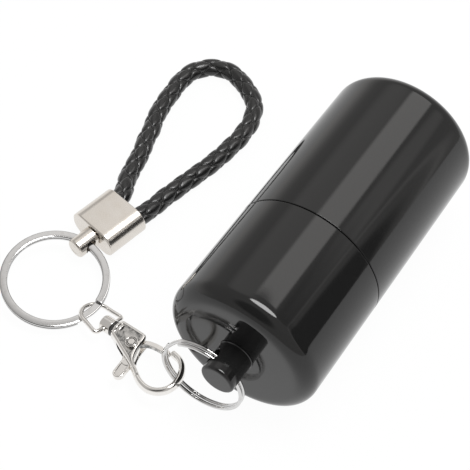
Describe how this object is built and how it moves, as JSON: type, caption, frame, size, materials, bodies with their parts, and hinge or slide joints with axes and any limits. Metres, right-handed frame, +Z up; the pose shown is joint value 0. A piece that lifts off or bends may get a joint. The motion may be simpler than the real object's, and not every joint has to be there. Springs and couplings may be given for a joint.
{
  "type": "storage tube keychain",
  "caption": "Screw-cap storage tube on a keychain: eyelet, small split ring, swivel lobster clasp, flat key ring and braided loop in a metal ferrule.",
  "frame": {"origin": "bottom centre of the object without its loop, on the surface it lies on", "axes": "+Y along the tube from its cap to its closed end, +Z up, +X from the chain to the tube"},
  "size_m": [0.1114, 0.1265, 0.048],
  "materials": {
    "cap": "gloss black anodised",
    "eyelet": "gloss black anodised",
    "tube": "gloss black anodised",
    "seal": "matt black",
    "small_ring": "polished",
    "clasp": "polished nickel",
    "lever": "polished nickel",
    "rivet": "polished nickel",
    "spring": "bright spring wire",
    "swivel": "polished nickel",
    "bail": "polished nickel",
    "key_ring": "polished",
    "ferrule": "satin nickel",
    "ferrule_eye": "satin nickel",
    "loop": "gloss black braid"
  },
  "bodies": {
    "cap": {"cap_shell": "cap", "cap_eyelet": "eyelet"},
    "seal": {"seal_ring": "seal"},
    "tube": {"tube_body": "tube"},
    "small_ring": {"small_split_ring": "small_ring"},
    "clasp": {"clasp_body": "clasp", "lever_rivet": "rivet", "lever_spring": "spring"},
    "lever": {"clasp_lever": "lever"},
    "swivel": {"swivel_barrel": "swivel"},
    "bail": {"swivel_bail": "bail"},
    "key_ring": {"key_ring": "key_ring"},
    "ferrule": {"ferrule_shell": "ferrule", "ferrule_eye": "ferrule_eye", "braided_loop": "loop"}
  },
  "joints": [
    {"name": "tube_draw_off", "type": "slide", "parent": "cap", "child": "seal", "axis": [0, 1, 0], "range_m": [0, 0.0121]},
    {"name": "tube_unscrew", "type": "hinge", "parent": "seal", "child": "tube", "pos_m": [0.0305, 0, 0.024], "axis": [0, 1, 0], "range_deg": [0, 2160]},
    {"name": "small_ring_swing", "type": "hinge", "parent": "cap", "child": "small_ring", "pos_m": [0.0305, -0.0461, 0.024], "axis": [0.8018, 0, -0.5976], "range_deg": [-60, 6]},
    {"name": "clasp_pitch", "type": "hinge", "parent": "small_ring", "child": "clasp", "pos_m": [0.01193, -0.0474, 0.00687], "axis": [0.1132, 0.9936, 0], "range_deg": [-35, 20]},
    {"name": "lever_press", "type": "hinge", "parent": "clasp", "child": "lever", "pos_m": [-0.00288, -0.04588, 0.00464], "axis": [-0.1469, 0.0167, 0.989], "range_deg": [-25, 0], "stiffness_Nm_per_rad": 0.06, "springref_deg": 20.05, "deforming": ["lever_spring"]},
    {"name": "swivel_turn", "type": "hinge", "parent": "clasp", "child": "swivel", "pos_m": [-0.02299, -0.04157, 0.00158], "axis": [0.9827, -0.112, 0.1478], "continuous": true},
    {"name": "bail_tilt", "type": "hinge", "parent": "swivel", "child": "bail", "pos_m": [-0.01438, -0.04255, 0.00288], "axis": [0.1608, 0.9115, -0.3785], "range_deg": [-60, 35]},
    {"name": "key_ring_swing", "type": "hinge", "parent": "bail", "child": "key_ring", "pos_m": [-0.02206, -0.04119, 0.00289], "axis": [0.1379, 0.9902, 0.0209], "range_deg": [-20, 8]},
    {"name": "ferrule_swing", "type": "hinge", "parent": "key_ring", "child": "ferrule", "pos_m": [-0.03832, -0.02334, 0.00582], "axis": [-0.9896, -0.0559, 0.1324], "range_deg": [-60, 60]}
  ],
  "couplings": [
    {"joint": "tube_draw_off", "follows": "tube_unscrew", "m_per_rad": 0.00031831}
  ]
}
